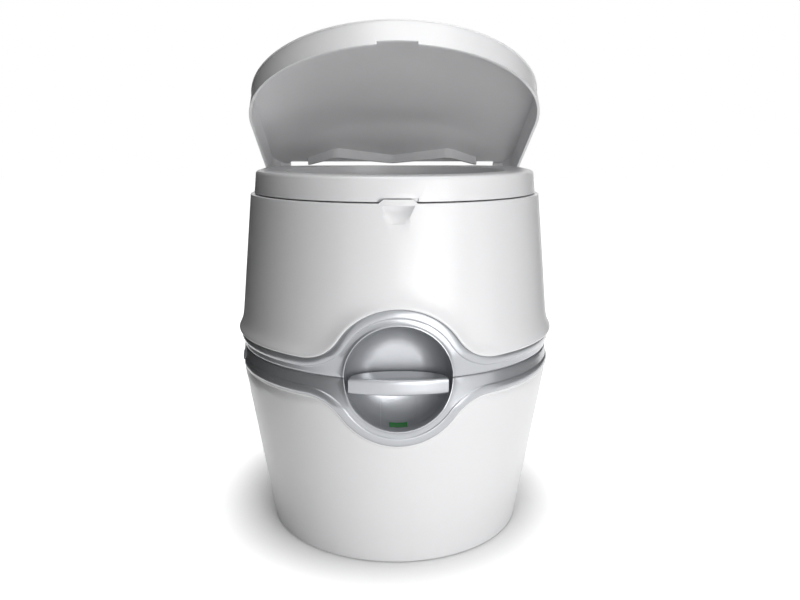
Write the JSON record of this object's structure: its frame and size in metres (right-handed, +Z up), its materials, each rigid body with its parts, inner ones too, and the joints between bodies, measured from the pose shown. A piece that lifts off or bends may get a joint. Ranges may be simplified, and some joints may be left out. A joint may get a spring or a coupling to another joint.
{
  "type": "portable toilet",
  "caption": "Two-part portable toilet with a hinged lid and seat, a flush tank with its pump, a slide valve and a waste tank with a swinging pouring spout.",
  "frame": {"origin": "on the floor under the middle of the object", "axes": "+Z up, -Y towards the front, +X to the right seen from the front"},
  "size_m": [0.3838, 0.4478, 0.5838],
  "materials": {
    "white_plastic": "gloss white moulded plastic",
    "belt_plastic": "silver-grey moulded plastic",
    "dark_plastic": "dark grey plastic",
    "seal_rubber": "black rubber",
    "indicator_green": "green indicator",
    "steel": "plain steel"
  },
  "bodies": {
    "waste_tank": {"waste_tank_tub": "white_plastic", "waste_tank_top": "white_plastic", "lower_belt_trim": "belt_plastic", "indicator_panel": "belt_plastic", "indicator_window": "indicator_green", "valve_housing": "dark_plastic", "valve_lip_seal": "seal_rubber", "valve_screws": "steel", "float_bracket": "dark_plastic", "float_pin": "steel", "vent_spring": "steel", "rubber_feet": "seal_rubber"},
    "slide_valve": {"valve_handle": "belt_plastic", "valve_rod": "dark_plastic", "valve_blade": "dark_plastic"},
    "level_float": {"float_arm": "dark_plastic", "level_float": "dark_plastic"},
    "spout": {"pour_spout": "belt_plastic"},
    "spout_cap": {"spout_cap": "belt_plastic"},
    "vent": {"vent_button": "belt_plastic"},
    "latch": {"side_latch": "dark_plastic"},
    "flush_tank": {"flush_tank_shell": "white_plastic", "upper_belt_trim": "belt_plastic", "flush_tank_floor": "white_plastic", "latch_keeper": "dark_plastic", "bowl": "white_plastic", "outlet_seal": "seal_rubber", "hinge_brackets": "white_plastic", "filler_neck": "white_plastic", "pump_body": "white_plastic", "pump_spring": "steel"},
    "seat": {"seat_ring": "white_plastic", "seat_buffers": "seal_rubber", "hinge_pins": "steel"},
    "lid": {"lid": "white_plastic"},
    "filler_cap": {"filler_cap": "belt_plastic"},
    "pump": {"pump_knob": "belt_plastic", "pump_plunger": "dark_plastic"}
  },
  "joints": [
    {"name": "section_lift", "type": "slide", "parent": "waste_tank", "child": "flush_tank", "axis": [0, 0, 1], "range_m": [0, 0.06]},
    {"name": "valve_slide", "type": "slide", "parent": "waste_tank", "child": "slide_valve", "axis": [0, -1, 0], "range_m": [0, 0.095]},
    {"name": "float_swing", "type": "hinge", "parent": "waste_tank", "child": "level_float", "pos_m": [0, -0.1645, 0.146], "axis": [1, 0, 0], "range_deg": [0, 22]},
    {"name": "spout_swing", "type": "hinge", "parent": "waste_tank", "child": "spout", "pos_m": [-0.105, 0.1805, 0.16], "axis": [0, 0, 1], "range_deg": [0, 100]},
    {"name": "spout_cap_turn", "type": "hinge", "parent": "spout", "child": "spout_cap", "pos_m": [0, 0.1805, 0.19], "axis": [1, 0, 0], "range_deg": [0, 270]},
    {"name": "vent_press", "type": "slide", "parent": "waste_tank", "child": "vent", "axis": [0, 0, -1], "range_m": [0, 0.004], "stiffness_N_per_m": 400, "springref_m": -0.003, "deforming": ["vent_spring"]},
    {"name": "latch_slide", "type": "slide", "parent": "waste_tank", "child": "latch", "axis": [0, -1, 0], "range_m": [0, 0.01]},
    {"name": "seat_hinge", "type": "hinge", "parent": "flush_tank", "child": "seat", "pos_m": [0, 0.1715, 0.417], "axis": [-1, 0, 0], "range_deg": [0, 90]},
    {"name": "lid_hinge", "type": "hinge", "parent": "seat", "child": "lid", "pos_m": [0, 0.1715, 0.417], "axis": [-1, 0, 0], "range_deg": [-24, 61]},
    {"name": "filler_cap_turn", "type": "hinge", "parent": "flush_tank", "child": "filler_cap", "pos_m": [-0.08, 0.1455, 0.402], "axis": [0, 0, 1], "range_deg": [0, 270]},
    {"name": "pump_press", "type": "slide", "parent": "flush_tank", "child": "pump", "axis": [0, 0, -1], "range_m": [0, 0.02], "stiffness_N_per_m": 250, "springref_m": -0.01, "deforming": ["pump_spring"]}
  ]
}
